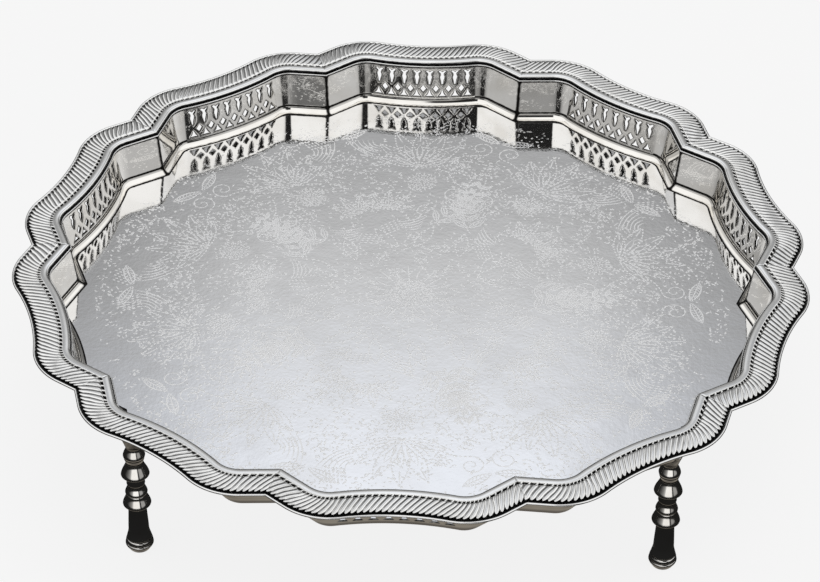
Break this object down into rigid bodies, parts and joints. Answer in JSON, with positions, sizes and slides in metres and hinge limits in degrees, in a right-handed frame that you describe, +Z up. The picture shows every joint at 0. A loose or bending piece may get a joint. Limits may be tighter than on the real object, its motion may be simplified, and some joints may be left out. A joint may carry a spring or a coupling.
{
  "type": "footed gallery tray",
  "caption": "Round silver gallery tray with a lobed pierced wall, a gadrooned border, an engraved polished floor and turned legs.",
  "frame": {"origin": "on the table under the middle of the tray, in the plane of the four feet", "axes": "+Z up through the middle of the round tray; +X through a cusp of the border on the right; +Y to the back"},
  "size_m": [0.3956, 0.3928, 0.0941],
  "materials": {
    "floor": "polished, engraved",
    "gallery": "polished, pierced",
    "border": "polished, with dark recesses",
    "leg": "polished, tarnished",
    "boss": "polished, tarnished",
    "stud": "threaded"
  },
  "bodies": {
    "root": {"floor_plate": "floor", "gallery_01": "gallery", "gallery_02": "gallery", "gallery_03": "gallery", "gallery_04": "gallery", "gallery_05": "gallery", "gallery_06": "gallery", "gallery_07": "gallery", "gallery_08": "gallery", "gallery_09": "gallery", "gallery_10": "gallery", "border_01": "border", "border_02": "border", "border_03": "border", "border_04": "border", "border_05": "border", "border_06": "border", "border_07": "border", "border_08": "border", "border_09": "border", "border_10": "border", "leg_front_left": "leg", "leg_front_right": "leg", "leg_back_right": "leg", "leg_back_left": "leg", "boss_front_left": "boss", "boss_front_right": "boss", "boss_back_right": "boss", "boss_back_left": "boss", "stud_front_left": "stud", "stud_front_right": "stud", "stud_back_right": "stud", "stud_back_left": "stud"}
  },
  "joints": []
}
